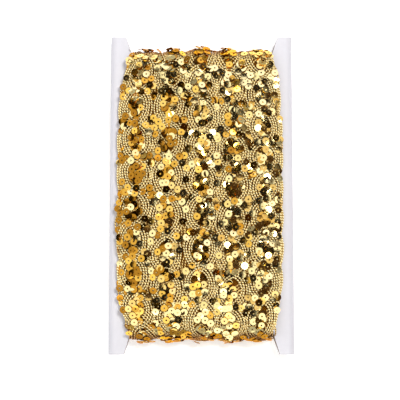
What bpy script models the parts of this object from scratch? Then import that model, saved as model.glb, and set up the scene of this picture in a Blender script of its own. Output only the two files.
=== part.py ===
# Roll of sequin trim wound round a white folded card with a notch in each end, lying on its back.
# Metres. +X runs across the card, +Y along its legs, +Z up. The ground is z = 0, under the winding's
# pressed back, and the card floats above it in the middle of the winding.

import math

import bmesh
import bpy

# Card: a sleeve of folded board, shaped like an H, with its folds along the two long edges.
CARD_WIDTH = 0.132
CARD_LENGTH = 0.230
CARD_THICKNESS = 0.0060  # where the trim holds the two panels apart
TIP_THICKNESS = 0.0038  # at the cut ends, where the panels fall together
FOLD_ROUND = 0.0022  # how far in from the long edge the fold starts to turn
FOLD_STEPS = 4
NOTCH_DEPTH = 0.0200
NOTCH_SLANT = math.radians(17.0)
TIP_LEAN = 0.0001  # how much further in the back panel reaches at the leg's tip

# Winding
GAP = 0.0003
UNIT_LENGTH = 0.0236  # one eye of the braid, measured along the trim
PILE_AT_WRAP = 0.0072  # wound layers over the card's notch edges, up to the creases
PILE_BOW = 0.0019  # how much thicker the pile grows at the middle of a face
CROWN_HEIGHT = 0.0021  # from the crease between two laps to the lap's crown
EYE_RISE = 0.0008  # the sequin cluster in each eye stands this much above the rest of its lap
WAVE_EDGE = 0.0017  # depth of the scallops along a lap's edge
HELD_SHARE = 0.6  # how much of the scallops the notch presses flat along the outer edges
CROWN_POWER = 2.6  # how square a lap's section is
WRAP_HALF_WIDTH = 0.0494  # where the trim turns over the notch
WRAP_INNER_HALF_WIDTH = 0.0473
LEFT_HALF_WIDTH = 0.0592  # at the middle of a face, where the laps spread over the legs
RIGHT_HALF_WIDTH = 0.0572
INNER_SHRINK = 0.0025  # the lowest layer is this much narrower on each side
BARREL_POWER = 5.0  # how late the sides turn in towards the notches
EDGE_FALL = 0.48  # share of the pile that is lost towards the outermost edges of a face
WRAP_EDGE_FALL = 0.18  # and where the notch holds the edges in
EDGE_FALL_POWER = 4.0
SIDE_BULGE = 0.0010
SIDE_STEPS = 3
SIDE_WAVE_SHARE = 0.5  # scallops of the lower layers against those of the outer lap
SIDE_PHASE_STEP = 0.37  # how far along its scallops each lower layer is shifted
PRESSED = 0.0016  # how much of the back crowns the roll's own weight has flattened
SHARP_ANGLE = math.radians(35.0)

STRAIGHT_STEPS = 48  # stations along each face
QUARTER_STEPS = 6  # stations round each quarter turn at the notches
LAP_STEPS = 5  # strips across one lap

# One row for each visible lap, from the left leg to the right one.
# Shift and wander move the lap's left crease. Phase shifts its eyes along it, and drift moves them to and fro.
LAP_COLUMNS = (
    "shift",
    "lift",
    "wander",
    "wander_turns",
    "wander_start",
    "phase",
    "drift",
    "drift_turns",
    "drift_start",
)
LAPS = (
    (0.0000, -0.0002, 0.0000, 1.0, 0.0, 0.60, 0.05, 1.0, 0.0),
    (-0.0006, 0.0000, 0.0012, 2.0, 3.7, 0.83, 0.22, 2.0, 0.6),
    (0.0008, 0.0005, 0.0010, 3.0, 1.8, 0.04, 0.20, 1.0, 3.4),
    (0.0004, 0.0003, 0.0012, 2.0, 5.3, 0.04, 0.06, 2.0, 1.0),
    (-0.0006, -0.0001, 0.0009, 3.0, 2.6, 0.04, 0.22, 2.0, 3.6),
)

# Unevenness of the pile: one row for each slow wave, closed over one lap.
LUMP_COLUMNS = ("height", "turns", "slant", "start")
LUMPS = (
    (0.00030, 5.0, 4.0, 0.0),
    (0.00021, 11.0, -7.0, 1.3),
)

# One row for each leg. A side of -1 is the left leg.
LEG_COLUMNS = ("side", "tip_width", "root_lean")
LEGS = (
    (-1, 0.0110, 0.0009),
    (1, 0.0104, 0.0017),
)

CARD_COLOUR = (0.86, 0.86, 0.88, 1.0)
TRIM_COLOUR = (0.62, 0.40, 0.11, 1.0)


def rows(columns, table):
    return [dict(zip(columns, row)) for row in table]


laps = rows(LAP_COLUMNS, LAPS)
lumps = rows(LUMP_COLUMNS, LUMPS)
legs = rows(LEG_COLUMNS, LEGS)

half_card = CARD_THICKNESS / 2.0
web_end = CARD_LENGTH / 2.0 - NOTCH_DEPTH
spine_end = web_end - half_card  # centre of the turn over the notch edge
core = half_card + GAP  # from the spine to the inside of the winding
base_radius = core + PILE_AT_WRAP
quarter_length = base_radius * math.pi / 2.0
lap_length = 4.0 * spine_end + 4.0 * quarter_length
units_per_lap = round(lap_length / UNIT_LENGTH)
ground = -(base_radius + PILE_BOW + CROWN_HEIGHT - PRESSED)


def clear_scene():
    for thing in list(bpy.data.objects):
        bpy.data.objects.remove(thing, do_unlink=True)


def material(name, colour, roughness, metallic):
    made = bpy.data.materials.new(name)
    made.use_nodes = True
    shader = made.node_tree.nodes["Principled BSDF"]
    shader.inputs["Base Color"].default_value = colour
    shader.inputs["Roughness"].default_value = roughness
    shader.inputs["Metallic"].default_value = metallic
    return made


def finish(name, mesh, look):
    """Turns a bmesh into a named object with outward faces, resting on the ground plane."""
    bmesh.ops.recalc_face_normals(mesh, faces=mesh.faces)
    data = bpy.data.meshes.new(name)
    mesh.to_mesh(data)
    mesh.free()
    data.shade_smooth()
    data.set_sharp_from_angle(angle=SHARP_ANGLE)
    data.materials.append(look)
    thing = bpy.data.objects.new(name, data)
    thing.location.z = -ground
    bpy.context.scene.collection.objects.link(thing)
    return thing


def bridge(mesh, first, second):
    """Joins two closed rings of the same number of vertices with quads."""
    for index in range(len(first)):
        after = (index + 1) % len(first)
        mesh.faces.new((first[index], first[after], second[after], second[index]))


# Card


def fold_points(side, half_thickness):
    """Round long edge of one leg in the XZ plane, from the back panel to the front one."""
    edge = side * CARD_WIDTH / 2.0
    start = edge - side * FOLD_ROUND
    turned = []
    for step in range(FOLD_STEPS + 1):
        angle = -math.pi / 2.0 + math.pi * step / FOLD_STEPS
        x = start + side * FOLD_ROUND * math.cos(angle)
        turned.append((x, half_thickness * math.sin(angle)))
    return turned


def leg_ring(leg, at_tip):
    """Section of a leg: its fold, then the notch wall's front and back edges."""
    half_thickness = TIP_THICKNESS / 2.0 if at_tip else half_card
    lean = TIP_LEAN if at_tip else leg["root_lean"]
    slant = 0.0 if at_tip else NOTCH_DEPTH * math.tan(NOTCH_SLANT)
    front = leg["side"] * (CARD_WIDTH / 2.0 - leg["tip_width"] - slant)
    back = front - leg["side"] * lean
    return fold_points(leg["side"], half_thickness) + [(front, half_thickness), (back, -half_thickness)]


def build_card():
    mesh = bmesh.new()

    def ring(points, y):
        return [mesh.verts.new((x, y, z)) for x, z in points]

    roots = {}
    for end in (-1, 1):
        for leg in legs:
            root = ring(leg_ring(leg, False), end * web_end)
            tip = ring(leg_ring(leg, True), end * CARD_LENGTH / 2.0)
            bridge(mesh, root, tip)
            mesh.faces.new(tip)
            roots[end, leg["side"]] = root
        left = roots[end, -1]
        right = roots[end, 1]
        mesh.faces.new((left[-2], right[-2], right[-1], left[-1]))  # the notch's own edge
    whole = {}
    for end in (-1, 1):
        left = roots[end, -1]
        right = roots[end, 1]
        # Round the full section: left fold up to the front panel, across, right fold down to the back.
        whole[end] = left[: FOLD_STEPS + 1] + [left[-2], right[-2]]
        whole[end] += right[FOLD_STEPS::-1] + [right[-1], left[-1]]
    bridge(mesh, whole[-1], whole[1])
    return finish("card", mesh, material("white board", CARD_COLOUR, 0.6, 0.0))


# Winding


def stations():
    """Places round the winding: (distance along the lap, spine y, direction of the surface in YZ)."""
    places = []
    for face in (1, -1):
        start = 0.0 if face == 1 else lap_length / 2.0
        for step in range(STRAIGHT_STEPS):
            share = step / STRAIGHT_STEPS
            along = start + 2.0 * spine_end * share
            places.append((along, face * (2.0 * share - 1.0) * spine_end, math.pi / 2.0 * face))
        for step in range(2 * QUARTER_STEPS):
            share = step / (2 * QUARTER_STEPS)
            along = start + 2.0 * spine_end + 2.0 * quarter_length * share
            places.append((along, face * spine_end, math.pi / 2.0 * face - math.pi * share))
    return places


def drawn_in(y, height):
    """0 in the middle of a face and 1 where a layer of this height turns over the notch edge."""
    return min(1.0, abs(y) / (spine_end + height)) ** BARREL_POWER


def barrel(y, height, middle, wrap):
    """Half width of the winding at this height over its spine."""
    return middle - (middle - wrap) * drawn_in(y, height)


def wave(distance, lap, shift=0.0):
    """One rise and fall for each eye of the braid, in the range from 0 to 1."""
    turn = 2.0 * math.pi * distance / lap_length
    drift = lap["drift"] * math.sin(lap["drift_turns"] * turn + lap["drift_start"])
    return 0.5 + 0.5 * math.cos(units_per_lap * turn + 2.0 * math.pi * (lap["phase"] + drift + shift))


def lump_height(distance, x):
    turn = 2.0 * math.pi * distance / lap_length
    across = x / LEFT_HALF_WIDTH
    return sum(
        lump["height"] * math.sin(lump["turns"] * turn + lump["slant"] * across + lump["start"])
        for lump in lumps
    )


def creases(distance, y):
    """X of both outer edges and of the creases between laps at one station."""
    left = -barrel(y, base_radius, LEFT_HALF_WIDTH, WRAP_HALF_WIDTH)
    right = barrel(y, base_radius, RIGHT_HALF_WIDTH, WRAP_HALF_WIDTH)
    turn = 2.0 * math.pi * distance / lap_length
    free_edge = WAVE_EDGE * (1.0 - HELD_SHARE * drawn_in(y, base_radius))
    lines = []
    for index in range(len(laps) + 1):
        x = left + (right - left) * index / len(laps)
        if index == 0:
            x -= free_edge * (wave(distance, laps[0]) - 0.5)
        elif index == len(laps):
            x += free_edge * (wave(distance, laps[-1]) - 0.5)
        else:
            lap = laps[index]
            x += lap["shift"] + lap["wander"] * math.sin(lap["wander_turns"] * turn + lap["wander_start"])
            x -= WAVE_EDGE * (wave(distance, lap) - 0.5)
        lines.append(x)
    return lines


def pile(distance, y, x, lap, across):
    """Height of the outer surface over the inside of the winding. Across is -1 and 1 at the lap's edges."""
    reach = min(1.0, abs(y) / spine_end)
    bow = PILE_BOW * (1.0 - reach**2)
    fall = EDGE_FALL - (EDGE_FALL - WRAP_EDGE_FALL) * drawn_in(y, core)
    middle = LEFT_HALF_WIDTH if x < 0.0 else RIGHT_HALF_WIDTH
    side = min(1.0, abs(x) / barrel(y, base_radius, middle, WRAP_HALF_WIDTH))
    body = (PILE_AT_WRAP + bow) * (1.0 - fall * side**EDGE_FALL_POWER)
    crown = CROWN_HEIGHT + lap["lift"] + EYE_RISE * (wave(distance, lap) - 0.5)
    return body + crown * (1.0 - abs(across) ** CROWN_POWER) + lump_height(distance, x)


def surface_point(y, angle, height, x):
    """A point this high over the spine of the winding, its back flattened by the ground."""
    return (x, y + height * math.cos(angle), max(ground, height * math.sin(angle)))


def inner_height(angle):
    """The inside follows the notch edge's square section."""
    return core / max(abs(math.sin(angle)), abs(math.cos(angle)))


def station_ring(distance, y, angle):
    """All points of the winding's section at one station: outside left to right, then back inside."""
    lines = creases(distance, y + base_radius * math.cos(angle))
    outside = []
    for index, lap in enumerate(laps):
        first_step = 0 if index == 0 else 1
        for step in range(first_step, LAP_STEPS + 1):
            share = step / LAP_STEPS
            x = lines[index] + (lines[index + 1] - lines[index]) * share
            height = core + pile(distance, y, x, lap, 2.0 * share - 1.0)
            outside.append(surface_point(y, angle, height, x))
    inner = inner_height(angle)
    inner_y = y + inner * math.cos(angle)
    ends = []
    for side, middle in ((1, RIGHT_HALF_WIDTH), (-1, LEFT_HALF_WIDTH)):
        x = side * barrel(inner_y, core, middle - INNER_SHRINK, WRAP_INNER_HALF_WIDTH)
        ends.append((x, inner_y, inner * math.sin(angle)))
    right_end, left_end = ends
    right_side = side_points(outside[-1], right_end, 1, distance, laps[-1])
    left_side = side_points(outside[0], left_end, -1, distance, laps[0])
    return outside + right_side + [right_end, left_end] + left_side[::-1]


def side_points(top, bottom, side, distance, lap):
    """Stacked layer edges between the outer lap and the card, each with its own scallops."""
    points = []
    for step in range(1, SIDE_STEPS):
        share = step / SIDE_STEPS
        x, y, z = (a + (b - a) * share for a, b in zip(top, bottom))
        swell = SIDE_BULGE * math.sin(math.pi * share) * (1.0 - drawn_in(y, core))
        free_edge = WAVE_EDGE * (1.0 - HELD_SHARE * drawn_in(y, core))
        scallop = SIDE_WAVE_SHARE * free_edge * (wave(distance, lap, SIDE_PHASE_STEP * step) - 0.5)
        points.append((x + side * (swell + scallop), y, z))
    return points


def build_winding():
    mesh = bmesh.new()
    rings = []
    for distance, y, angle in stations():
        rings.append([mesh.verts.new(point) for point in station_ring(distance, y, angle)])
    for index, ring in enumerate(rings):
        bridge(mesh, ring, rings[(index + 1) % len(rings)])
    return finish("winding", mesh, material("gold trim", TRIM_COLOUR, 0.35, 0.8))


clear_scene()
build_card()
build_winding()
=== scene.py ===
# Gold sequin and cord trim wound in five laps a layer round a white folded card, lying on its back.
# Metres. +X across the card, +Y along its legs, +Z up. The floor is z = 0.
import math

import bmesh
import bpy
import numpy as np
from mathutils import Matrix, Vector


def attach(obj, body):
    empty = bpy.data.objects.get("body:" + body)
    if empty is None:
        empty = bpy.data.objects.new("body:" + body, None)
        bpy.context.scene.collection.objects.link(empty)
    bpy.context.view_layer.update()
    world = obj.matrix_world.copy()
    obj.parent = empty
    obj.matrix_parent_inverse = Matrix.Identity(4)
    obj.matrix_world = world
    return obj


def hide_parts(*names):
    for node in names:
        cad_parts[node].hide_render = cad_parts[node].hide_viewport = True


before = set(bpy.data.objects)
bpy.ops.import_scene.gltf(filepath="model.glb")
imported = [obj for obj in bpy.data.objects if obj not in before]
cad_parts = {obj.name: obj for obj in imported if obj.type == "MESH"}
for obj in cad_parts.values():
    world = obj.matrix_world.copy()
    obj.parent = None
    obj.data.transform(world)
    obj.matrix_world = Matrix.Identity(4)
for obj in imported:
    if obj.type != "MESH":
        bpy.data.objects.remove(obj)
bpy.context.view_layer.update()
scene = bpy.context.scene
print("frame loaded:", sorted(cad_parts))

mm = 0.001
fullTurn = 2.0 * math.pi


def linear(hexColour):  # sRGB hex to the linear RGBA that the sockets take
    parts = [int(hexColour[i : i + 2], 16) / 255.0 for i in (1, 3, 5)]
    return tuple(c / 12.92 if c <= 0.04045 else ((c + 0.055) / 1.055) ** 2.4 for c in parts) + (1.0,)


def addObject(name, data):
    piece = bpy.data.objects.new(name, data)
    scene.collection.objects.link(piece)
    return piece


def addNode(tree, kind, settings=None, links=None):
    node = tree.nodes.new(kind)
    for name, value in (settings or {}).items():
        if isinstance(name, str) and hasattr(node, name):
            setattr(node, name, value)
        else:
            node.inputs[name].default_value = value
    for name, source in (links or {}).items():
        tree.links.new(source, node.inputs[name])
    return node


# Shape of the winding: the same sizes and rules as the CAD solid, which the cords and sequins follow.
winding = {
    "halfCard": 3.0 * mm,
    "gap": 0.3 * mm,
    "webEnd": 95.0 * mm,
    "pileAtWrap": 7.2 * mm,
    "pileBow": 1.9 * mm,
    "crown": 2.1 * mm,
    "eyeRise": 0.8 * mm,
    "crownPower": 2.6,
    "creaseDepth": 0.93,  # how near to a crease's bottom the cords reach
    "wrapHalf": 49.4 * mm,
    "wrapInnerHalf": 47.3 * mm,
    "leftHalf": 59.2 * mm,
    "rightHalf": 57.2 * mm,
    "innerShrink": 2.5 * mm,
    "barrelPower": 5.0,
    "outerReach": 0.92,  # spread of the roll's outer edges against an inner edge
    "outerSqueeze": 0.03,  # what the notches take off each
    "innerSqueeze": 0.09,
    "heldUp": 0.4,  # the notch walls hold the outer edges up
    "edgeFall": 0.48,
    "wrapEdgeFall": 0.18,
    "edgePower": 4,
    "turnSwell": 0.9 * mm,  # the outer layer sits loosely round the turns
    "turnLevel": 0.8,  # and its sides fall less there
    "turnPower": 0.5,
    "pressed": 1.6 * mm,
    "sideBulge": 1.0 * mm,
    "unit": 23.6 * mm,
    "laps": 5,
}
# One value a lap. Lengths in mm, phase and drift in eyes.
laps = {
    "lift": (-0.2, 0.0, 0.5, 0.3, -0.1),
    "creaseShift": (0.0, -0.6, 0.8, 0.4, -0.6),
    "wander": (0.0, 1.2, 1.0, 1.2, 0.9),
    "wanderTurns": (1, 2, 3, 2, 3),
    "wanderStart": (0.0, 3.7, 1.8, 5.3, 2.6),
    "eyePhase": (0.60, 0.83, 0.04, 0.04, 0.04),
    "drift": (0.05, 0.22, 0.20, 0.06, 0.22),
    "driftTurns": (1, 2, 1, 2, 2),
    "driftStart": (0.0, 0.6, 3.4, 1.0, 3.6),
}
laps = {name: np.array(values) for name, values in laps.items()}
lumpTable = ((0.30 * mm, 5, 4.0, 0.0), (0.21 * mm, 11, -7.0, 1.3))  # height, turns, slant, start

spineEnd = winding["webEnd"] - winding["halfCard"]
core = winding["halfCard"] + winding["gap"]
baseRadius = core + winding["pileAtWrap"]
straight = 2.0 * spineEnd
lapLength = 2.0 * straight + fullTurn * baseRadius
unitsPerLap = round(lapLength / winding["unit"])
ground = -(baseRadius + winding["pileBow"] + winding["crown"] - winding["pressed"])


def station(distance):  # spine y and direction of the surface at a distance along the lap
    along = np.mod(distance, lapLength)
    face = np.where(along < lapLength / 2.0, 1.0, -1.0)
    local = np.where(face > 0.0, along, along - lapLength / 2.0)
    turned = np.clip((local - straight) / (math.pi * baseRadius), 0.0, 1.0)
    y = face * (2.0 * np.clip(local / straight, 0.0, 1.0) - 1.0) * spineEnd
    return y, face * math.pi / 2.0 - math.pi * turned


def drawnIn(y, height):  # 0 at the middle of the roll, 1 in the notches
    return np.minimum(1.0, np.abs(y) / (spineEnd + height)) ** winding["barrelPower"]


def barrel(y, height, middle, wrap):
    return middle - (middle - wrap) * drawnIn(y, height)


def bowAt(y):  # the pile is thickest halfway between the turns
    return winding["pileBow"] * (1.0 - np.minimum(1.0, np.abs(y) / spineEnd) ** 2)


def fallAt(y):  # how much lower the pile is at its sides
    return winding["edgeFall"] - (winding["edgeFall"] - winding["wrapEdgeFall"]) * drawnIn(y, core)


def boardReach(angle):  # from the spine to the card, whose end is square
    return core / np.maximum(np.abs(np.sin(angle)), np.abs(np.cos(angle)))


def eyesOf(distance, lap):  # whole numbers at the middle of each eye
    turn = fullTurn * distance / lapLength
    drift = laps["drift"][lap] * np.sin(laps["driftTurns"][lap] * turn + laps["driftStart"][lap])
    return unitsPerLap * distance / lapLength + laps["eyePhase"][lap] + drift


def creaseShift(distance, lap):  # a lap's left crease against its even place
    inner = (lap > 0) & (lap < winding["laps"])
    own = np.clip(lap, 0, winding["laps"] - 1)
    turn = fullTurn * distance / lapLength
    wave = np.sin(laps["wanderTurns"][own] * turn + laps["wanderStart"][own])
    return np.where(inner, laps["creaseShift"][own] + laps["wander"][own] * wave, 0.0) * mm


def onWinding(distance, lap, offset, lift, floorGap=0.0):
    # Points over the winding: offset from the lap's middle line, lift over the CAD surface
    distance, lap, offset, lift = np.broadcast_arrays(distance, lap, offset, lift)
    lap = lap.astype(int)
    y, angle = station(distance)
    edgeY = y + baseRadius * np.cos(angle)
    left = -barrel(edgeY, baseRadius, winding["leftHalf"], winding["wrapHalf"])
    right = barrel(edgeY, baseRadius, winding["rightHalf"], winding["wrapHalf"])
    pitch = (right - left) / winding["laps"]
    shift = (creaseShift(distance, lap) + creaseShift(distance, lap + 1)) / 2.0
    centre = left + pitch * (lap + 0.5) + shift
    squeeze = drawnIn(edgeY, baseRadius)
    outer = ((lap == 0) & (offset < 0.0)) | ((lap == winding["laps"] - 1) & (offset > 0.0))
    outerSpread = winding["outerReach"] - winding["outerSqueeze"] * squeeze
    x = centre + offset * np.where(outer, outerSpread, 1.0 - winding["innerSqueeze"] * squeeze)
    across = np.clip(np.abs(x - centre) / (pitch / 2.0), 0.0, 1.0)
    across = across * np.where(outer, 1.0 - winding["heldUp"] * squeeze, winding["creaseDepth"])
    turned = np.abs(np.cos(angle)) ** winding["turnPower"]
    fall = fallAt(y) * (1.0 - winding["turnLevel"] * turned)
    side = np.minimum(1.0, np.where(x < 0.0, x / left, x / right))
    body = (winding["pileAtWrap"] + bowAt(y)) * (1.0 - fall * side ** winding["edgePower"])
    ripple = winding["eyeRise"] * 0.5 * np.cos(fullTurn * eyesOf(distance, lap))
    crown = winding["crown"] + laps["lift"][lap] * mm + ripple
    turn = fullTurn * distance / lapLength
    lumps = sum(h * np.sin(t * turn + s * x / winding["leftHalf"] + b) for h, t, s, b in lumpTable)
    height = core + body + crown * (1.0 - across ** winding["crownPower"]) + lumps + lift
    height = height + winding["turnSwell"] * turned
    z = np.maximum(ground + floorGap, height * np.sin(angle)) - ground
    return np.stack((x, y + height * np.cos(angle), z), -1)


def surfaceFrame(distance, lap, offset, lift, floorGap=0.0):
    # Points with unit vectors along the lap, across it and straight out of the winding
    step = 0.6 * mm
    here = onWinding(distance, lap, offset, lift, floorGap)
    along = onWinding(distance + step, lap, offset, lift) - onWinding(distance - step, lap, offset, lift)
    across = onWinding(distance, lap, offset + step, lift) - onWinding(distance, lap, offset - step, lift)
    along /= np.linalg.norm(along, axis=-1, keepdims=True)
    out = np.cross(across, along)
    out /= np.linalg.norm(out, axis=-1, keepdims=True)
    return here, along, np.cross(along, out), out


# Cords: eight twisted cords a lap, in two bands of four that part round each eye and cross between eyes
cords = {
    "radius": 0.57 * mm,
    "pitch": 1.85 * mm,
    "bandSwing": 9.2 * mm,
    "places": (-1.5, -0.5, 0.5, 1.5),  # the four cords of a band, in pitches from its middle
    "roundness": 0.5,
    "turningPoint": 0.015,  # how gently a band crosses over
    "overUnder": 0.6 * mm,
    "plaitWidth": 0.8 * mm,
    "depth": 0.95 * mm,
    "lapSink": (-0.2 * mm, 0.3 * mm),  # even and odd laps, so that neighbours overlap
    "uneven": 0.05,  # how much the eyes differ in width
    "sway": 0.5 * mm,  # how far a lap wanders to and fro
    "stir": 0.16 * mm,  # and a single cord, across and up
    "stirUp": 0.12 * mm,
    "step": 0.63 * mm,
    "beadDepth": 0.42,
    "sides": 5,
    "seed": 41,
}
lowerCords = {
    "radius": 0.55 * mm,
    "places": (-1.1, 0.0, 1.1, 2.2),
    "overUnder": 0.3 * mm,
    "depth": 2.1 * mm,
    "step": 1.4 * mm,
    "beadDepth": 0.2,
}
dice = np.random.default_rng(cords["seed"])


def bandLine(lap, sign, shiftEyes, count):
    # Middle line of one band round the whole lap: distance along it and offset from its middle.
    # Every wave has a whole number of turns a lap, so that the cords close on themselves.
    distance = lapLength * np.arange(count) / count
    swing = np.cos(math.pi * (eyesOf(distance, lap) + shiftEyes))
    rounded = swing / (swing**2 + cords["turningPoint"]) ** ((1.0 - cords["roundness"]) / 2.0)
    turn = fullTurn * distance / lapLength
    widths = np.sin(7 * turn + 2.0 * lap + sign) + np.sin(13 * turn + 1.3 * lap - sign)
    drifts = np.sin(5 * turn + 1.7 * lap) + 0.6 * np.sin(11 * turn + 2.9 * lap + shiftEyes)
    uneven = 1.0 + cords["uneven"] * widths
    return distance, sign * cords["bandSwing"] * rounded * uneven + cords["sway"] * drifts


def bandPaths(lap, shiftEyes, depth, places, crossing, count=1100):
    # Closed paths of the cords of both bands of one lap
    paths = []
    for sign in (1.0, -1.0):
        distance, offset = bandLine(lap, sign, shiftEyes, count)
        alongStep = np.full(count, 2.0 * lapLength / count)
        acrossStep = np.roll(offset, -1) - np.roll(offset, 1)
        size = np.hypot(alongStep, acrossStep)
        bearing = sign * np.sin(math.pi * (eyesOf(distance, lap) + shiftEyes))
        for place in places:
            away = sign * place * cords["pitch"]
            cordDistance = distance - away * acrossStep / size
            cordOffset = offset + away * alongStep / size
            turn = fullTurn * distance / lapLength
            stir = cords["stir"] * np.sin(23 * turn + dice.uniform(0.0, fullTurn))
            # Plaited crossing: a cord lies on top on the side that it comes from, and under past the middle
            plait = crossing * bearing * np.tanh(cordOffset / cords["plaitWidth"])
            lift = -depth + plait + cords["stirUp"] * np.sin(31 * turn + dice.uniform(0.0, fullTurn))
            paths.append(onWinding(cordDistance, lap, cordOffset + stir, lift, cords["radius"]))
    return paths


# Scalloped edges of the layers below, stacked between the outer lap and the card on both sides
layerEdges = {
    "layers": 4,
    "cordsEach": 2,
    "topRoom": 0.9,  # room over the first layer, in layers
    "span": 4.4,  # layers from the top edge to the card
    "phaseStep": 0.13,  # eyes that each layer's waves lag behind
    "wavePower": 0.7,
    "rise": 0.5,  # the rest in mm
    "cordRise": 0.3,
    "waveDip": 0.8,
    "waveOut": 2.6,
    "inset": 1.6,
    "cordInset": 1.3,
    "notchHold": 0.75,
}


def sidePaths(count=700):
    paths = []
    distance = lapLength * np.arange(count) / count
    y, angle = station(distance)
    inner = boardReach(angle)
    innerY = y + inner * np.cos(angle)
    for side, lap, middle in ((-1, 0, winding["leftHalf"]), (1, 4, winding["rightHalf"])):
        edgeY = y + baseRadius * np.cos(angle)
        topX = side * barrel(edgeY, baseRadius, middle, winding["wrapHalf"])
        topHeight = core + (winding["pileAtWrap"] + bowAt(y)) * (1.0 - fallAt(y))
        lowX = side * barrel(innerY, core, middle - winding["innerShrink"], winding["wrapInnerHalf"])
        room = 1.0 - layerEdges["notchHold"] * drawnIn(edgeY, baseRadius)
        for layer in range(layerEdges["layers"]):
            share = (layer + layerEdges["topRoom"]) / layerEdges["span"]
            eyes = eyesOf(distance, lap) + layerEdges["phaseStep"] * layer
            wave = np.abs(np.cos(math.pi * eyes)) ** layerEdges["wavePower"]
            swell = winding["sideBulge"] * math.sin(math.pi * share) * (1.0 - drawnIn(y, core))
            for cord in range(layerEdges["cordsEach"]):
                up = layerEdges["cordRise"] * cord + layerEdges["rise"] - layerEdges["waveDip"] * wave
                out = layerEdges["waveOut"] * wave - layerEdges["inset"] - layerEdges["cordInset"] * cord
                height = topHeight + (inner - topHeight) * share + up * mm
                x = topX + (lowX - topX) * share + side * (swell + out * room * mm)
                z = np.maximum(ground + cords["radius"], height * np.sin(angle)) - ground
                paths.append(np.stack((x, y + height * np.cos(angle), z), -1))
    return paths


def newTree(name, inputs):  # a node tree with its named inputs
    tree = bpy.data.node_groups.new(name, "GeometryNodeTree")
    tree.interface.new_socket("Geometry", in_out="INPUT", socket_type="NodeSocketGeometry")
    tree.interface.new_socket("Geometry", in_out="OUTPUT", socket_type="NodeSocketGeometry")
    for label, kind in inputs:
        tree.interface.new_socket(label, in_out="INPUT", socket_type=kind)
    return tree, addNode(tree, "NodeGroupInput"), addNode(tree, "NodeGroupOutput")


def endTree(tree, given, result, geometry):
    real = addNode(tree, "GeometryNodeRealizeInstances", {}, {"Geometry": geometry})
    finished = addNode(
        tree,
        "GeometryNodeSetMaterial",
        {},
        {"Geometry": real.outputs["Geometry"], "Material": given.outputs["Material"]},
    )
    tree.links.new(finished.outputs["Geometry"], result.inputs["Geometry"])
    return tree


def makeCordTree():
    tree, given, result = newTree(
        "twisted cord along a path",
        (
            ("Radius", "NodeSocketFloat"),
            ("Step", "NodeSocketFloat"),
            ("Bead Depth", "NodeSocketFloat"),
            ("Points Around", "NodeSocketInt"),
            ("Material", "NodeSocketMaterial"),
        ),
    )
    path = addNode(tree, "GeometryNodeMeshToCurve", {}, {"Mesh": given.outputs["Geometry"]})
    even = addNode(
        tree,
        "GeometryNodeResampleCurve",
        {"mode": "LENGTH"},
        {"Curve": path.outputs["Curve"], "Length": given.outputs["Step"]},
    )
    place = addNode(tree, "GeometryNodeSplineParameter")
    marked = addNode(
        tree,
        "GeometryNodeStoreNamedAttribute",
        {"data_type": "FLOAT", "domain": "POINT", "Name": "cordLength"},
        {"Geometry": even.outputs["Curve"], "Value": place.outputs["Length"]},
    )
    # Every third ring is a narrow waist, which makes the beads of the twist
    third = addNode(tree, "ShaderNodeMath", {"operation": "MODULO", 1: 3.0}, {0: place.outputs["Index"]})
    narrow = addNode(tree, "ShaderNodeMath", {"operation": "LESS_THAN", 1: 0.5}, {0: third.outputs[0]})
    dip = addNode(
        tree,
        "ShaderNodeMath",
        {"operation": "MULTIPLY"},
        {0: narrow.outputs[0], 1: given.outputs["Bead Depth"]},
    )
    beads = addNode(tree, "ShaderNodeMath", {"operation": "SUBTRACT", 0: 1.0}, {1: dip.outputs[0]})
    ring = addNode(
        tree,
        "GeometryNodeCurveArc",
        {"mode": "RADIUS", "Sweep Angle": fullTurn},
        {"Resolution": given.outputs["Points Around"], "Radius": given.outputs["Radius"]},
    )
    around = addNode(tree, "GeometryNodeSplineParameter")
    ringMarked = addNode(
        tree,
        "GeometryNodeStoreNamedAttribute",
        {"data_type": "FLOAT", "domain": "POINT", "Name": "cordAround"},
        {"Geometry": ring.outputs["Curve"], "Value": around.outputs["Factor"]},
    )
    tube = addNode(
        tree,
        "GeometryNodeCurveToMesh",
        {"Fill Caps": False},
        {
            "Curve": marked.outputs["Geometry"],
            "Profile Curve": ringMarked.outputs["Geometry"],
            "Scale": beads.outputs[0],
        },
    )
    pair = addNode(tree, "ShaderNodeCombineXYZ")
    for axis, name in (("X", "cordLength"), ("Y", "cordAround")):
        stored = addNode(tree, "GeometryNodeInputNamedAttribute", {"data_type": "FLOAT", "Name": name})
        tree.links.new(stored.outputs["Attribute"], pair.inputs[axis])
    mapped = addNode(
        tree,
        "GeometryNodeStoreNamedAttribute",
        {"data_type": "FLOAT2", "domain": "CORNER", "Name": "UVMap"},
        {"Geometry": tube.outputs["Mesh"], "Value": pair.outputs["Vector"]},
    )
    closed = addNode(
        tree,
        "GeometryNodeMergeByDistance",
        {"Distance": 0.001 * mm},
        {"Geometry": mapped.outputs["Geometry"]},
    )
    smooth = addNode(tree, "GeometryNodeSetShadeSmooth", {}, {"Geometry": closed.outputs["Geometry"]})
    return endTree(tree, given, result, smooth.outputs["Geometry"])


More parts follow.
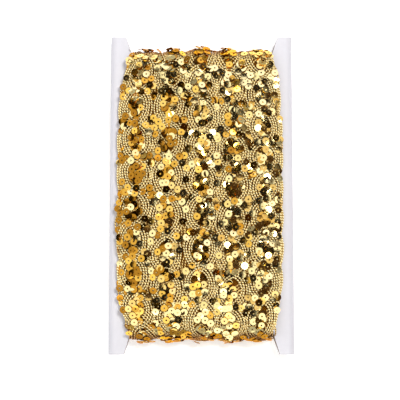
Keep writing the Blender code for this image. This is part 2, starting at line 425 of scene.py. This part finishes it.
def makeSequinTree():
    tree, given, result = newTree(
        "sequins sewn on points",
        (
            ("Sequin", "NodeSocketObject"),
            ("Size", "NodeSocketFloat"),
            ("Material", "NodeSocketMaterial"),
        ),
    )
    pattern = addNode(tree, "GeometryNodeObjectInfo", {}, {"Object": given.outputs["Sequin"]})
    turn = addNode(
        tree, "GeometryNodeInputNamedAttribute", {"data_type": "FLOAT_VECTOR", "Name": "turn"}
    )
    rotation = addNode(tree, "FunctionNodeEulerToRotation", {}, {"Euler": turn.outputs["Attribute"]})
    growth = addNode(tree, "GeometryNodeInputNamedAttribute", {"data_type": "FLOAT", "Name": "growth"})
    size = addNode(
        tree,
        "ShaderNodeMath",
        {"operation": "MULTIPLY"},
        {0: growth.outputs["Attribute"], 1: given.outputs["Size"]},
    )
    placed = addNode(
        tree,
        "GeometryNodeInstanceOnPoints",
        {},
        {
            "Points": given.outputs["Geometry"],
            "Instance": pattern.outputs["Geometry"],
            "Rotation": rotation.outputs["Rotation"],
            "Scale": size.outputs[0],
        },
    )
    return endTree(tree, given, result, placed.outputs["Instances"])


def pathMesh(name, paths):  # closed polylines as a mesh of edges
    points = np.concatenate(paths)
    edges = []
    start = 0
    for path in paths:
        index = np.arange(len(path))
        edges.append(np.stack((index, np.roll(index, -1)), -1) + start)
        start += len(path)
    mesh = bpy.data.meshes.new(name)
    mesh.from_pydata(points.tolist(), np.concatenate(edges).tolist(), [])
    return mesh


def growOn(name, mesh, tree, values, look):
    # Runs a node tree on a mesh and keeps the result as a plain mesh
    holder = addObject(name + "Holder", mesh)
    modifier = holder.modifiers.new("nodes", "NODES")
    modifier.node_group = tree
    for item in tree.interface.items_tree:
        if item.in_out == "INPUT" and item.name in values:
            modifier[item.identifier] = values[item.name]
        if item.in_out == "INPUT" and item.name == "Material":
            modifier[item.identifier] = look
    bpy.context.view_layer.update()
    evaluated = holder.evaluated_get(bpy.context.evaluated_depsgraph_get())
    grown = bpy.data.meshes.new_from_object(evaluated)
    holder.modifiers.remove(modifier)
    bpy.data.objects.remove(holder)
    grown.name = name
    print(name, len(grown.polygons), "faces")
    return addObject(name, grown)


# Materials
amber = {  # painted shade and painted reflection on the roll's turns, where the cords and sequins go a deeper amber
    "from": 98.0 * mm,
    "to": 103.5 * mm,
    "colour": "#B47418",
    "cordShare": 0.85,
    "sequinShare": 0.9,
}
board = {
    "foldFrom": 61.5 * mm,  # each folded edge has a crease band of painted shade, greyer where the fold rounds over
    "foldTo": 64.0 * mm,
    "foldShare": 0.3,
    "cutInside": 62.0 * mm,  # upright faces nearer the middle are cut edges
}


def newMaterial(name, values):
    look = bpy.data.materials.new(name)
    look.use_nodes = True
    tree = look.node_tree
    shader = tree.nodes["Principled BSDF"]
    for socket, value in values.items():
        shader.inputs[socket].default_value = value
    return look, tree, shader


def makeFoil():
    # Cup sequin: PET film with vacuum-deposited metal under a gold lacquer, stamped and pressed.
    # Mirror sharp, one flat reflection a facet, with a whiter glint from the clear lacquer on top.
    values = {
        "Metallic": 1.0,
        "Roughness": 0.1,
        "Specular Tint": linear("#FFD27C"),  # amber at a grazing look too
        "Coat Weight": 0.15,
        "Coat Roughness": 0.05,
    }
    look, tree, shader = newMaterial("gold-lacquered sequin film", values)
    tone = addNode(tree, "ShaderNodeAttribute", {"attribute_name": "tone"})
    colour = addNode(tree, "ShaderNodeValToRGB", {}, {"Fac": tone.outputs["Fac"]})
    stops = colour.color_ramp.elements
    stops[0].color = linear("#84560C")
    stops[1].color = linear("#FCE8A4")
    for position, tint in ((0.2, "#C48A22"), (0.55, "#F2C456")):
        stops.new(position).color = linear(tint)
    tree.links.new(colour.outputs["Color"], shader.inputs["Base Color"])
    place = addNode(tree, "ShaderNodeTexCoord")
    # Pressing leaves slow dents about 1.5 mm across in the film
    dents = addNode(
        tree, "ShaderNodeTexNoise", {"Scale": 650.0, "Detail": 1.0}, {"Vector": place.outputs["Object"]}
    )
    bump = addNode(
        tree, "ShaderNodeBump", {"Strength": 0.15, "Distance": 0.1 * mm}, {"Height": dents.outputs["Fac"]}
    )
    tree.links.new(bump.outputs["Normal"], shader.inputs["Normal"])
    return look


def makeCordLook(name, groove, middleTone, crest):
    # Gimp cord: metallised film wound round a cotton core, two plies twisted together.
    # Satin metal; its colour follows the twist, painted shade in the ply grooves and painted highlight on
    # the crests, short bright dashes with brown between them.
    values = {
        "Metallic": 0.15,
        "Roughness": 0.35,
        "Specular IOR Level": 0.25,
        "Specular Tint": linear("#FFDC96"),
    }
    look, tree, shader = newMaterial(name, values)
    uv = addNode(tree, "ShaderNodeUVMap", {"uv_map": "UVMap"})
    split = addNode(tree, "ShaderNodeSeparateXYZ", {}, {"Vector": uv.outputs["UV"]})
    # Two plies with a lay of 3.8 mm put a ply groove at every bead's waist, 1.9 mm apart
    along = addNode(
        tree,
        "ShaderNodeMath",
        {"operation": "MULTIPLY", 1: fullTurn / (1.89 * mm)},
        {0: split.outputs["X"]},
    )
    turned = addNode(
        tree,
        "ShaderNodeMath",
        {"operation": "MULTIPLY_ADD", 1: fullTurn},
        {0: split.outputs["Y"], 2: along.outputs[0]},
    )
    ply = addNode(tree, "ShaderNodeMath", {"operation": "SINE"}, {0: turned.outputs[0]})
    level = addNode(
        tree, "ShaderNodeMapRange", {"From Min": -1.0, "From Max": 1.0}, {"Value": ply.outputs[0]}
    )
    # Painted shade in the grooves, painted highlight on the crests
    colour = addNode(tree, "ShaderNodeValToRGB", {}, {"Fac": level.outputs["Result"]})
    stops = colour.color_ramp.elements
    stops[0].color = linear(groove)
    stops[1].color = linear(crest)
    stops[1].position = 0.56
    middle = stops.new(0.25)
    middle.color = linear(middleTone)
    # Painted shade and reflection: on the turns the cord colour is multiplied towards a deeper amber
    place = addNode(tree, "ShaderNodeTexCoord")
    spot = addNode(tree, "ShaderNodeSeparateXYZ", {}, {"Vector": place.outputs["Object"]})
    fromMiddle = addNode(tree, "ShaderNodeMath", {"operation": "ABSOLUTE"}, {0: spot.outputs["Y"]})
    turnShadeShare = addNode(
        tree,
        "ShaderNodeMapRange",
        {"From Min": amber["from"], "From Max": amber["to"], "To Max": amber["cordShare"]},
        {"Value": fromMiddle.outputs[0]},
    )
    turnShaded = addNode(
        tree,
        "ShaderNodeMix",
        {"data_type": "RGBA", "blend_type": "MULTIPLY", 7: linear(amber["colour"])},
        {0: turnShadeShare.outputs["Result"], 6: colour.outputs["Color"]},
    )
    tree.links.new(turnShaded.outputs[2], shader.inputs["Base Color"])
    bump = addNode(
        tree,
        "ShaderNodeBump",
        {"Strength": 0.8, "Distance": 0.25 * mm},
        {"Height": level.outputs["Result"]},
    )
    tree.links.new(bump.outputs["Normal"], shader.inputs["Normal"])
    return look


def makeNetting():
    # Base tape under the cords: open-woven viscose with a metallic weft.
    # Dull brown between the bright cords, with a grid of gold threads; its near-black between the threads
    # is painted shade in the gaps between the cords.
    values = {"Roughness": 0.75, "Specular IOR Level": 0.1}
    look, tree, shader = newMaterial("woven gold base tape", values)
    place = addNode(tree, "ShaderNodeTexCoord")
    split = addNode(tree, "ShaderNodeSeparateXYZ", {}, {"Vector": place.outputs["Object"]})
    waves = []
    for axis in ("X", "Y"):  # threads every 0.8 mm, drawn at twice that so that they show
        turned = addNode(
            tree,
            "ShaderNodeMath",
            {"operation": "MULTIPLY", 1: fullTurn / (1.6 * mm)},
            {0: split.outputs[axis]},
        )
        waves.append(addNode(tree, "ShaderNodeMath", {"operation": "SINE"}, {0: turned.outputs[0]}))
    weave = addNode(
        tree, "ShaderNodeMath", {"operation": "MULTIPLY"}, {0: waves[0].outputs[0], 1: waves[1].outputs[0]}
    )
    level = addNode(
        tree, "ShaderNodeMapRange", {"From Min": -1.0, "From Max": 1.0}, {"Value": weave.outputs[0]}
    )
    colour = addNode(tree, "ShaderNodeValToRGB", {}, {"Fac": level.outputs["Result"]})
    stops = colour.color_ramp.elements
    # Near-black stop: painted shade where the tape lies in the gaps between cords
    stops[0].color = linear("#1A0A00")
    stops[1].color = linear("#845006")
    tree.links.new(colour.outputs["Color"], shader.inputs["Base Color"])
    bump = addNode(
        tree, "ShaderNodeBump", {"Strength": 0.6, "Distance": 0.2 * mm}, {"Height": level.outputs["Result"]}
    )
    tree.links.new(bump.outputs["Normal"], shader.inputs["Normal"])
    return look


def makeBoard():
    # White duplex board, clay coated on its face: matt and smooth, with a faint mottle of its fibres,
    # with painted shade along the rounded folds, and its brown-grey core colour on the cut edges, which
    # also stands as painted shade on the notch walls.
    values = {"Roughness": 0.62, "Specular IOR Level": 0.35}
    look, tree, shader = newMaterial("folded white duplex board", values)
    place = addNode(tree, "ShaderNodeTexCoord")
    fibres = addNode(
        tree,
        "ShaderNodeTexNoise",
        {"Scale": 420.0, "Detail": 4.0, "Roughness": 0.6},
        {"Vector": place.outputs["Object"]},
    )
    clouds = addNode(
        tree, "ShaderNodeTexNoise", {"Scale": 35.0, "Detail": 2.0}, {"Vector": place.outputs["Object"]}
    )
    mottle = addNode(
        tree,
        "ShaderNodeMix",
        {"data_type": "FLOAT", 0: 0.6},
        {2: fibres.outputs["Fac"], 3: clouds.outputs["Fac"]},
    )
    colour = addNode(tree, "ShaderNodeValToRGB", {}, {"Fac": mottle.outputs[0]})
    stops = colour.color_ramp.elements
    stops[0].position = 0.35
    stops[0].color = linear("#C8C7CC")
    stops[1].position = 0.65
    stops[1].color = linear("#CECDD2")
    split = addNode(tree, "ShaderNodeSeparateXYZ", {}, {"Vector": place.outputs["Object"]})
    fromMiddle = addNode(tree, "ShaderNodeMath", {"operation": "ABSOLUTE"}, {0: split.outputs["X"]})
    # Painted shade: greyer in a band along each rounded fold
    foldShade = addNode(
        tree,
        "ShaderNodeMapRange",
        {"From Min": board["foldFrom"], "From Max": board["foldTo"], "To Max": board["foldShare"]},
        {"Value": fromMiddle.outputs[0]},
    )
    foldShaded = addNode(
        tree,
        "ShaderNodeMix",
        {"data_type": "RGBA", "blend_type": "MIX", 7: linear("#AAA8AF")},
        {0: foldShade.outputs["Result"], 6: colour.outputs["Color"]},
    )
    # Upright faces are cut edges, apart from the long folds at both sides; their brown-grey is the board's
    # core and also painted shade on the notch walls
    surface = addNode(tree, "ShaderNodeNewGeometry")
    facing = addNode(tree, "ShaderNodeSeparateXYZ", {}, {"Vector": surface.outputs["Normal"]})
    level = addNode(tree, "ShaderNodeMath", {"operation": "ABSOLUTE"}, {0: facing.outputs["Z"]})
    upright = addNode(
        tree, "ShaderNodeMapRange", {"From Min": 0.75, "From Max": 0.5}, {"Value": level.outputs[0]}
    )
    endways = addNode(tree, "ShaderNodeMath", {"operation": "ABSOLUTE"}, {0: facing.outputs["Y"]})
    atEnd = addNode(tree, "ShaderNodeMath", {"operation": "GREATER_THAN", 1: 0.7}, {0: endways.outputs[0]})
    inside = addNode(
        tree,
        "ShaderNodeMath",
        {"operation": "LESS_THAN", 1: board["cutInside"]},
        {0: fromMiddle.outputs[0]},
    )
    bareCoreAndShade = addNode(
        tree, "ShaderNodeMath", {"operation": "MAXIMUM"}, {0: atEnd.outputs[0], 1: inside.outputs[0]}
    )
    cut = addNode(
        tree,
        "ShaderNodeMath",
        {"operation": "MULTIPLY"},
        {0: upright.outputs["Result"], 1: bareCoreAndShade.outputs[0]},
    )
    coreAndShadeEdged = addNode(
        tree,
        "ShaderNodeMix",
        {"data_type": "RGBA", "blend_type": "MIX", 7: linear("#8E837C")},
        {0: cut.outputs[0], 6: foldShaded.outputs[2]},
    )
    tree.links.new(coreAndShadeEdged.outputs[2], shader.inputs["Base Color"])
    bump = addNode(
        tree, "ShaderNodeBump", {"Strength": 0.12, "Distance": 0.1 * mm}, {"Height": fibres.outputs["Fac"]}
    )
    tree.links.new(bump.outputs["Normal"], shader.inputs["Normal"])
    return look


foilLook = makeFoil()
cordLook = makeCordLook("twisted metallic gimp", "#3C1A00", "#F4B636", "#FFF4BC")
# The lower layers' cords are a darker copy of the gimp: painted shade for the depth at which they lie
lowerCordLook = makeCordLook("gimp of the lower layers darkened as painted shade", "#2C1200", "#A66A0E", "#F4D88C")
nettingLook = makeNetting()
boardLook = makeBoard()
print("materials made")


# Base tape: the wound form under the cords
tape = {
    "depth": 2.6 * mm,
    "reach": 11.64 * mm,  # half a lap
    "sideDepth": 1.9 * mm,
    "innerInset": 0.8 * mm,
    "floorGap": 0.2 * mm,
    "stepsAcross": 8,
    "stations": 260,
}


def makeTape():
    distance = lapLength * np.arange(tape["stations"]) / tape["stations"]
    y, angle = station(distance)
    columns = []
    for lap in range(winding["laps"]):
        shares = np.linspace(-1.0, 1.0, tape["stepsAcross"] + 1)
        for share in shares[(0 if lap == 0 else 1) :]:
            reach = tape["reach"]
            if (lap == 0 and share == -1.0) or (lap == winding["laps"] - 1 and share == 1.0):
                reach -= tape["sideDepth"]
            columns.append(onWinding(distance, lap, share * reach, -tape["depth"], tape["floorGap"]))
    inner = boardReach(angle)
    innerY = y + inner * np.cos(angle)
    for side, middle in ((1, winding["rightHalf"]), (-1, winding["leftHalf"])):
        lowX = barrel(innerY, core, middle - winding["innerShrink"], winding["wrapInnerHalf"])
        x = side * (lowX - tape["innerInset"])
        columns.append(np.stack((x, innerY, inner * np.sin(angle) - ground), -1))
    grid = np.stack(columns, 1)  # stations, columns, xyz
    rows, wide = grid.shape[:2]
    index = np.arange(rows * wide).reshape(rows, wide)
    after = np.roll(index, -1, 0)
    faces = np.stack((index, np.roll(index, -1, 1), np.roll(after, -1, 1), after), -1).reshape(-1, 4)
    mesh = bpy.data.meshes.new("baseTape")
    mesh.from_pydata(grid.reshape(-1, 3).tolist(), [], faces.tolist())
    shell = bmesh.new()
    shell.from_mesh(mesh)
    bmesh.ops.recalc_face_normals(shell, faces=shell.faces)
    shell.to_mesh(mesh)
    shell.free()
    mesh.shade_smooth()
    mesh.materials.append(nettingLook)
    return addObject("baseTape", mesh)


baseTape = makeTape()
print("base tape laid")

# Cords on the base tape
cordTree = makeCordTree()
braidPieces = []


def layCords(name, paths, kind, look):  # kind is cords or lowerCords
    values = {
        "Radius": kind["radius"],
        "Step": kind["step"],
        "Bead Depth": kind["beadDepth"],
        "Points Around": cords["sides"] + 1,
    }
    braidPieces.append(growOn(name, pathMesh(name + "Paths", paths), cordTree, values, look))


lowerPaths = []
for lap in range(winding["laps"]):
    ownDepth = cords["depth"] + cords["lapSink"][lap % 2]
    paths = bandPaths(lap, 0.0, ownDepth, cords["places"], cords["overUnder"])
    layCords(f"braidLap{lap + 1}", paths, cords, cordLook)
    lowPlan = (lowerCords["depth"], lowerCords["places"], lowerCords["overUnder"])
    lowerPaths.append(bandPaths(lap, 0.5, *lowPlan))  # half an eye further on
layCords("lowerBraidLeft", sum(lowerPaths[:3], []), lowerCords, lowerCordLook)
layCords("lowerBraidRight", sum(lowerPaths[3:], []), lowerCords, lowerCordLook)
layCords("layerEdges", sidePaths(), lowerCords, cordLook)
print("cords laid")

# Sequins: clusters in the eyes, in the notches between them and on the crossings
sequins = {
    "radius": 2.5 * mm,
    "hole": 0.64 * mm,
    "bend": 1.5 * mm,
    "cup": 0.045 * mm,
    "thickness": 0.08 * mm,
    "segments": 12,
    "lift": 0.15 * mm,
    "floorGap": 0.3 * mm,
    "scatter": 0.7 * mm,
    "liftScatter": 0.9 * mm,
    "clusterTilt": 7.0,  # degrees, as the other tilts
    "ownTilt": 7.5,
    "hangTilt": (40.0, 70.0),
    "petals": 8,  # sequins round an eye
    "petalReach": (3.0, 5.8),  # from its middle, in mm
    "eyeStretch": 1.4,
    "crossings": (-4.2, 0.2, 4.3, -1.8, 2.2),  # places across the lap where the bands cross, in mm
    "notches": ((-0.16, 1.8), (-0.03, -1.6), (0.07, 1.9), (0.18, -0.4), (-0.26, 0.6)),  # eyes, mm
    "notchReach": 8.8 * mm,
    "strayReach": (8.5, 10.6),
    "rimReach": 10.2 * mm,
    "hangReach": 11.2 * mm,
    "hangDrop": (0.6, 3.4),
    "ownSlope": 0.35,  # how far a sequin follows the cords under it, against the whole roll
    "sideRoll": 0.16,
    "sideWidth": 58.0 * mm,
    "sidePower": 1.5,
    "rightRoll": 0.6,  # the right side's share of it
    "endRoll": 0.24,
    "endFrom": 62.0 * mm,
    "endWidth": 30.0 * mm,
    "lowEndRoll": 0.3,
    "lowEndCalm": 0.4,  # drawn tight at the low end
    "sizeSpread": 0.04,
    "tone": 0.65,  # 0 amber, 1 pale gold
    # toneWidth and endTone are painted reflection: amber of gold mirrored in gold towards -X, pale of the
    # bright panels towards both ends
    "toneWidth": 104.0 * mm,
    "endTone": 0.4,
    "endToneFrom": 68.0 * mm,
    "endToneWidth": 20.0 * mm,
    "toneSpread": (0.2, 0.25),  # between clusters, and within one
    "paleShare": 0.14,
    "seed": 7,
}


def makeSequinPattern():
    section = (
        (sequins["hole"], 0.0),
        (sequins["bend"], 0.01 * mm),
        (sequins["radius"], sequins["cup"]),
        (sequins["radius"], sequins["cup"] - sequins["thickness"]),
        (sequins["hole"], -sequins["thickness"]),
    )
    mesh = bmesh.new()
    rings = []
    for step in range(sequins["segments"]):
        angle = fullTurn * step / sequins["segments"]
        rings.append([mesh.verts.new((r * math.cos(angle), r * math.sin(angle), z)) for r, z in section])
    for step, ring in enumerate(rings):
        after = rings[(step + 1) % len(rings)]
        for place in range(len(section)):
            beside = (place + 1) % len(section)
            face = mesh.faces.new((ring[place], ring[beside], after[beside], after[place]))
            face.smooth = place < 2
    bmesh.ops.recalc_face_normals(mesh, faces=mesh.faces)
    for edge in mesh.edges:
        edge.smooth = all(face.smooth for face in edge.link_faces)
    data = bpy.data.meshes.new("sequin")
    mesh.to_mesh(data)
    mesh.free()
    return addObject("sequin", data)


def atEye(lap, count):  # distance at which the count of eyes reaches a value
    distance = (count - laps["eyePhase"][lap]) * lapLength / unitsPerLap
    for _ in range(6):
        distance = distance + (count - eyesOf(distance, lap)) * lapLength / unitsPerLap
    return distance


def sequinPlaces():
    dice = np.random.default_rng(sequins["seed"])
    unit = lapLength / unitsPerLap
    rows = []  # lap, distance, offset, lift, tilt along and across, tone

    def cluster(lap, distance, offset, spots, lift, extra=(0.0, 0.0)):
        lean = dice.normal(0.0, sequins["clusterTilt"], 2) + extra
        place = onWinding(distance, lap, offset, 0.0)
        ends = (abs(place[1]) - sequins["endToneFrom"]) / sequins["endToneWidth"]
        # Painted reflection: the tone rises from amber at -X towards pale gold at +X, and paler still
        # towards both ends
        tone = sequins["tone"] + place[0] / sequins["toneWidth"]
        tone = tone + sequins["endTone"] * np.clip(ends, 0.0, 1.0)
        tone = tone + dice.normal(0.0, sequins["toneSpread"][0])
        # Painted shade and reflection: on the roll's turns the sequins' tone is pulled down to a deeper
        # amber
        turnShadeShare = np.clip((abs(place[1]) - amber["from"]) / (amber["to"] - amber["from"]), 0.0, 1.0)
        turnShadeFactor = 1.0 - amber["sequinShare"] * turnShadeShare
        for alongSpot, acrossSpot in spots:
            row = [lap]
            row.append(distance + alongSpot + dice.normal(0.0, sequins["scatter"]))
            row.append(offset + acrossSpot + dice.normal(0.0, sequins["scatter"]))
            row.append(lift + dice.uniform(0.0, sequins["liftScatter"]))
            row.append(lean[0] + dice.normal(0.0, sequins["ownTilt"]))
            row.append(lean[1] + dice.normal(0.0, sequins["ownTilt"]))
            own = 1.0
            if dice.random() >= sequins["paleShare"]:
                own = np.clip(tone + dice.normal(0.0, sequins["toneSpread"][1]), 0.1, 1.0)
            rows.append(row + [turnShadeFactor * own])

    for lap in range(winding["laps"]):
        for eye in range(unitsPerLap):
            middle = atEye(lap, eye)
            between = atEye(lap, eye + 0.5)
            start = dice.uniform(0.0, fullTurn)
            drift = dice.normal(0.0, 1.0 * mm)
            spots = []
            for petal in range(sequins["petals"]):
                angle = start + fullTurn * petal / sequins["petals"]
                reach = dice.uniform(*sequins["petalReach"]) * mm
                spots.append((sequins["eyeStretch"] * reach * math.sin(angle), reach * math.cos(angle)))
            # An under layer fills the eye and its two tips
            under = [(1.05 * reach, 0.7 * side) for reach, side in spots[::2]]
            under += [(-9.0 * mm, 0.0), (9.0 * mm, 0.0)]
            cluster(lap, middle, drift, under, sequins["lift"] - 0.9 * mm)
            cluster(lap, middle, drift, spots[:3], sequins["lift"])
            cluster(lap, middle, drift, spots[3:6], sequins["lift"] + 0.2 * mm)
            cluster(lap, middle, drift, spots[6:] + [(0.0, 0.0)], sequins["lift"] + 0.3 * mm)
            spots = [(dice.normal(0.0, 2.4 * mm), across * mm) for across in sequins["crossings"]]
            cluster(lap, between, drift, spots[: dice.integers(2, 6)], sequins["lift"] + 0.5 * mm)
            # A few strays lie over the bands beside the eye
            for side in (-1, 1):
                along = dice.uniform(-7.0, 7.0) * mm
                spots = [(along, side * dice.uniform(*sequins["strayReach"]) * mm)]
                cluster(lap, middle, 0.0, spots[: dice.integers(0, 2)], sequins["lift"] + 0.6 * mm)
            rim = {0: -1, winding["laps"] - 1: 1}.get(lap)
            if rim:  # a loose row runs down the roll's outer edge
                spots = [(dice.uniform(-0.5, 0.5) * unit, dice.normal(0.0, 0.9 * mm)) for _ in range(3)]
                spots = spots[: dice.integers(1, 4)]
                cluster(lap, middle, rim * sequins["rimReach"], spots, sequins["lift"] - 0.2 * mm)
                for _ in range(dice.integers(2, 4)):  # and some hang on the side of the pile
                    hang = [(dice.uniform(-0.5, 0.5) * unit, 0.0)]
                    lean = (0.0, rim * dice.uniform(*sequins["hangTilt"]))
                    low = dice.uniform(*sequins["hangDrop"]) * mm
                    cluster(lap, middle, rim * sequins["hangReach"], hang, -low, lean)
            for side in (-1, 1):
                spots = [(share * unit, side * across * mm) for share, across in sequins["notches"]]
                spots = spots[: dice.integers(2, 5)]
                cluster(lap, between, side * sequins["notchReach"], spots, sequins["lift"] - 0.2 * mm)
    return np.array(rows)


def placeSequins(name, rows):
    lap = rows[:, 0].astype(int)
    here, along, across, out = surfaceFrame(
        rows[:, 1], lap, rows[:, 2], rows[:, 3], sequins["floorGap"]
    )
    # The soft pile rolls off towards both ends and both sides, and its sequins lean with it
    x, y = here[:, 0:1], here[:, 1:2]
    endShare = np.clip((np.abs(y) - sequins["endFrom"]) / sequins["endWidth"], 0.0, 1.0) * np.sign(y)
    sideShare = np.clip(np.abs(x) / sequins["sideWidth"], 0.0, 1.0) ** sequins["sidePower"] * np.sign(x)
    sideRoll = np.where(sideShare > 0.0, sequins["rightRoll"], 1.0) * sequins["sideRoll"] * sideShare
    endRoll = np.where(endShare < 0.0, sequins["lowEndRoll"], sequins["endRoll"]) * endShare
    roll = np.concatenate((sideRoll, endRoll, 0.0 * sideShare), 1)
    tilt = np.radians(rows[:, 4:6]) * (1.0 - sequins["lowEndCalm"] * np.maximum(0.0, -endShare))
    angle = station(rows[:, 1])[1]
    radial = np.stack((0.0 * angle, np.cos(angle), np.sin(angle)), -1)
    own = sequins["ownSlope"]
    out = own * out + (1.0 - own) * radial + roll * np.abs(out[:, 2:3])
    normal = out + along * np.tan(tilt[:, 0:1]) + across * np.tan(tilt[:, 1:2])
    normal /= np.linalg.norm(normal, axis=-1, keepdims=True)
    dip = sequins["radius"] * np.sqrt(np.maximum(0.0, 1.0 - normal[:, 2] ** 2)) + sequins["cup"]
    here[:, 2] = np.maximum(here[:, 2], dip + 0.1 * mm)  # the rim stays over the floor
    turns = []
    for row, up in zip(rows, normal):
        spin = Matrix.Rotation(row[1] * 900.0, 3, "Z").to_quaternion()  # no two the same way round
        turns.append(tuple((Vector(up).to_track_quat("Z", "Y") @ spin).to_euler("XYZ")))
    mesh = bpy.data.meshes.new(name + "Points")
    mesh.from_pydata(here.tolist(), [], [])
    growth = 1.0 + sequins["sizeSpread"] * np.sin(rows[:, 1] * 7e3)
    mesh.attributes.new("turn", "FLOAT_VECTOR", "POINT").data.foreach_set("vector", np.array(turns).ravel())
    mesh.attributes.new("growth", "FLOAT", "POINT").data.foreach_set("value", growth)
    mesh.attributes.new("tone", "FLOAT", "POINT").data.foreach_set("value", rows[:, 6])
    values = {"Sequin": sequinPattern, "Size": 1.0}
    return growOn(name, mesh, sequinTree, values, foilLook)


sequinPattern = makeSequinPattern()
sequinTree = makeSequinTree()
sequinRows = sequinPlaces()
onFront = np.mod(sequinRows[:, 1], lapLength) < straight
sequinPieces = [
    placeSequins("sequinsFront", sequinRows[onFront]),
    placeSequins("sequinsBack", sequinRows[~onFront]),
]
bpy.data.objects.remove(sequinPattern)
print("sequins sewn:", len(sequinRows))

# The card keeps its CAD mesh
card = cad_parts["card"]
for slot in card.material_slots:
    slot.material = boardLook

for piece in [baseTape] + braidPieces + sequinPieces:
    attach(piece, "root")
    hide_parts("winding")

# Studio: white sweep, soft lights and a dark surround that the sequins mirror
studio = {
    "floorHalf": 3.0,
    "floorGlow": 0.3,  # a light table, so that shadows on it stay faint
    "middle": (0.0, 0.0, 0.01),
    "cameraDistance": 0.80,
    "cameraElevation": 83.5,
    "aim": (-1.0 * mm, -4.7 * mm, 12.9 * mm),
    "lens": 99.9,
}
# Place, size, brightness as a mirror shows it, tint, and whether the sequins mirror it
lights = {
    "keyPanel": ((0.34, 0.28, 1.14), (0.21, 0.21), 12.0, "#FFFFFF", True),
    "keyWash": ((0.34, 0.28, 1.14), (0.3, 0.3), 33.6, "#FFFFFF", False),
    "leftPanel": ((-0.76, 0.05, 1.0), (1.5, 1.5), 1.2, "#FFFFFF", True),
    "rightPanel": ((0.8, 0.0, 1.0), (0.9, 1.5), 0.05, "#FFB064", True),
    "rightStrip": ((0.64, 0.0, 0.98), (0.26, 1.2), 0.9, "#FFE8BC", True),
    "frontPanel": ((0.0, -0.92, 0.88), (1.5, 1.05), 1.4, "#FFFFFF", True),
    "topPanel": ((0.1, 1.05, 0.9), (1.3, 0.7), 1.55, "#F0F0FF", True),
}


def makeFloor():
    mesh = bmesh.new()
    half = studio["floorHalf"]
    corners = ((-half, -half, 0.0), (half, -half, 0.0), (half, half, 0.0), (-half, half, 0.0))
    mesh.faces.new([mesh.verts.new(corner) for corner in corners])
    data = bpy.data.meshes.new("floor")
    mesh.to_mesh(data)
    mesh.free()
    values = {
        "Base Color": linear("#F8F8F8"),
        "Emission Color": (1.0, 1.0, 1.0, 1.0),
        "Emission Strength": studio["floorGlow"],
        "Roughness": 1.0,
        "Specular IOR Level": 0.0,
    }
    data.materials.append(newMaterial("matt white studio sweep", values)[0])
    piece = addObject("floor", data)


def makeLight(name, place, size, brightness, tint, mirrored):
    data = bpy.data.lights.new(name, "AREA")
    data.shape = "RECTANGLE"
    data.size = size[0]
    data.size_y = size[1]
    data.energy = brightness * math.pi * size[0] * size[1]
    data.color = linear(tint)[:3]
    lamp = addObject(name, data)
    lamp.visible_camera = False
    lamp.visible_glossy = mirrored
    lamp.location = place
    toMiddle = Vector(studio["middle"]) - Vector(place)
    lamp.rotation_euler = toMiddle.to_track_quat("-Z", "Y").to_euler()


def makeSurround():
    world = bpy.data.worlds.new("studio surround")
    scene.world = world
    world.use_nodes = True
    tree = world.node_tree
    background = tree.nodes["Background"]
    place = addNode(tree, "ShaderNodeTexCoord")
    split = addNode(tree, "ShaderNodeSeparateXYZ", {}, {"Vector": place.outputs["Generated"]})
    # Light walls, and a dark brown ceiling that gives the sequins their dark side
    shade = addNode(tree, "ShaderNodeValToRGB", {}, {"Fac": split.outputs["Z"]})
    stops = shade.color_ramp.elements
    stops[0].color = (0.5, 0.5, 0.5, 1.0)
    stops[1].position = 0.9
    stops[1].color = linear("#191108")
    stops.new(0.35).color = (0.5, 0.5, 0.5, 1.0)
    stops.new(0.6).color = linear("#261A10")
    tree.links.new(shade.outputs["Color"], background.inputs["Color"])
    background.inputs["Strength"].default_value = 1.0


makeFloor()
makeSurround()
for name, values in lights.items():
    makeLight(name, *values)
scene.view_settings.view_transform = "Standard"
print("studio lit")

cameraData = bpy.data.cameras.new("camera")
cameraData.lens = studio["lens"]
camera = addObject("camera", cameraData)
rise = math.radians(studio["cameraElevation"])
aim = Vector(studio["aim"])
back = Vector((0.0, -math.cos(rise), math.sin(rise)))
camera.location = aim + back * studio["cameraDistance"]
camera.rotation_euler = (-back).to_track_quat("-Z", "Y").to_euler()
scene.camera = camera
